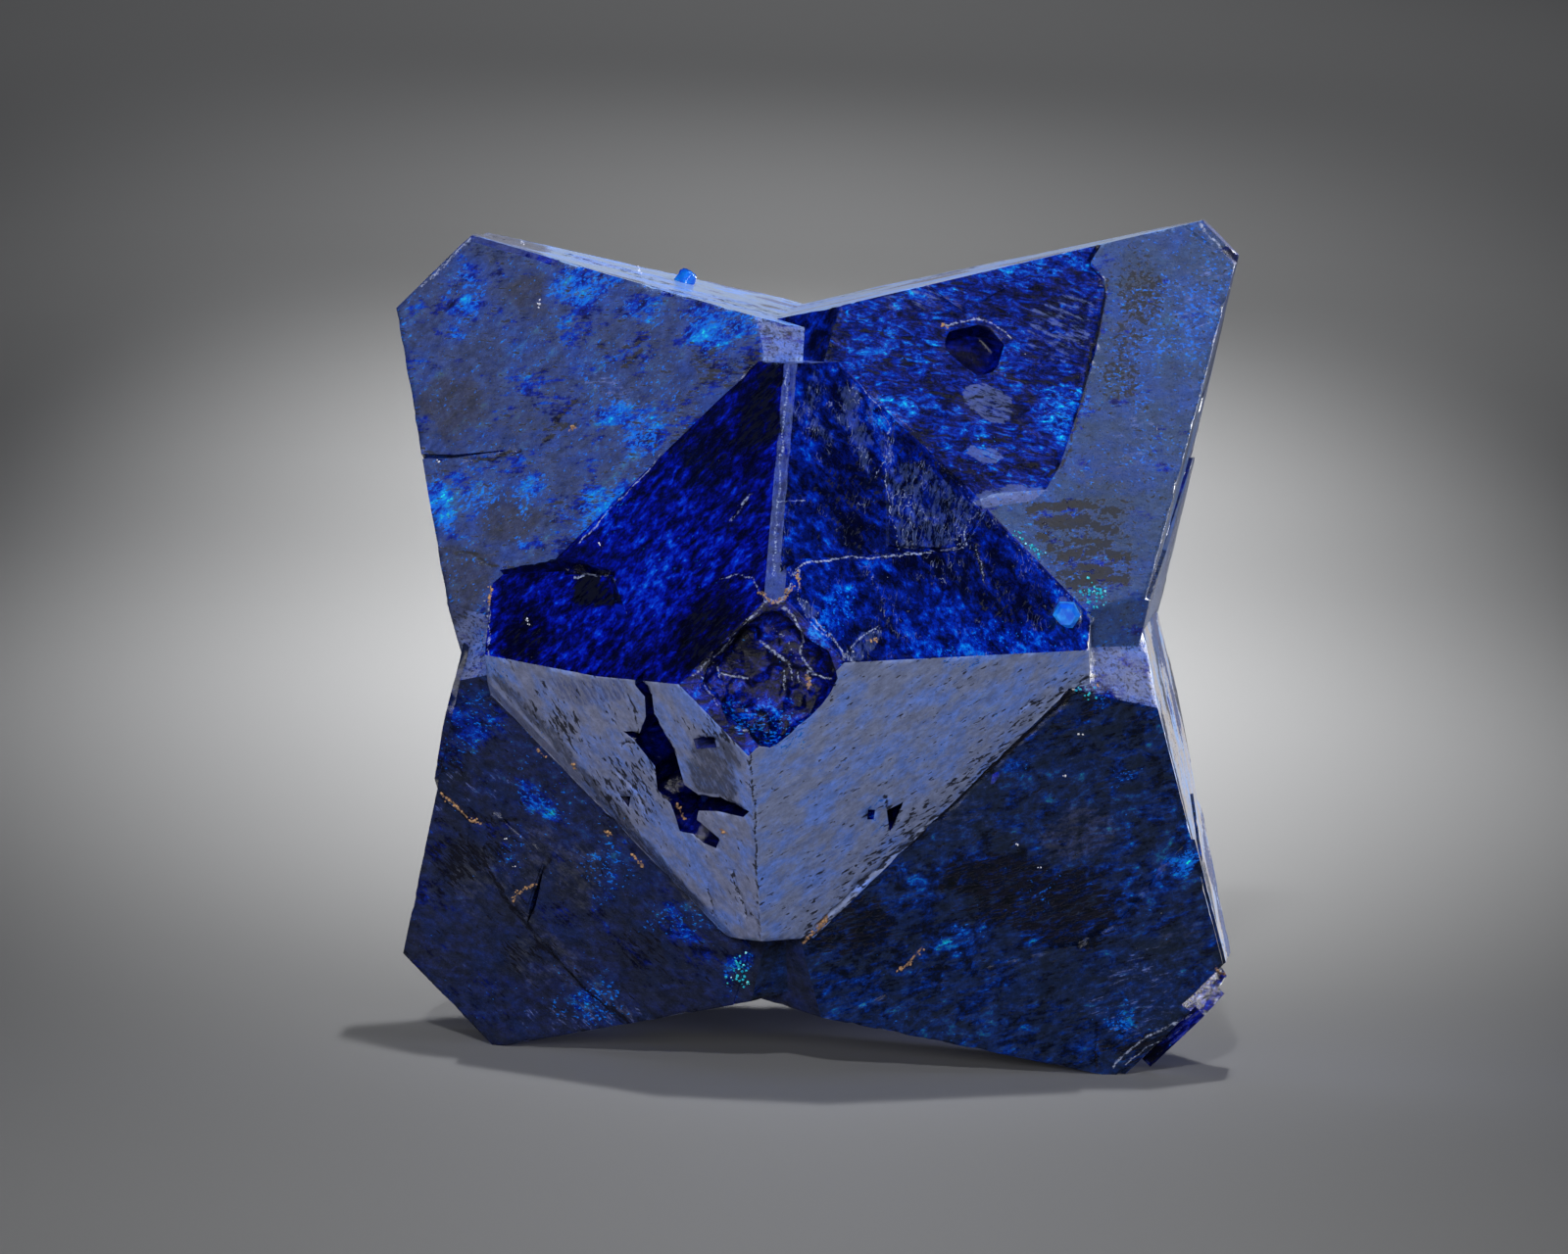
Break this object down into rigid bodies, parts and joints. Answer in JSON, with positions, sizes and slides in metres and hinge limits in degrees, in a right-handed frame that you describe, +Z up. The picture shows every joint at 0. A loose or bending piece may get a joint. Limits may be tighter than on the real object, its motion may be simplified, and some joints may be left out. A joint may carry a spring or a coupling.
{
  "type": "cumengeite crystal star",
  "caption": "Deep blue mineral star of steep four-sided pyramid crystals grown outward from one hidden cube, with blunt broken tips.",
  "frame": {"origin": "on the ground, below the middle of the star", "axes": "+Z up as the star stands on its two lower tips, -Y out of the tip of the crystal that points at the viewer, +X to the viewer's right"},
  "size_m": [0.022, 0.027, 0.0219],
  "materials": {
    "cumengeite": "opaque deep blue mineral with a glassy to pearly lustre, lightly pitted and scratched"
  },
  "bodies": {
    "root": {"cumengeite_star": "cumengeite"}
  },
  "joints": []
}
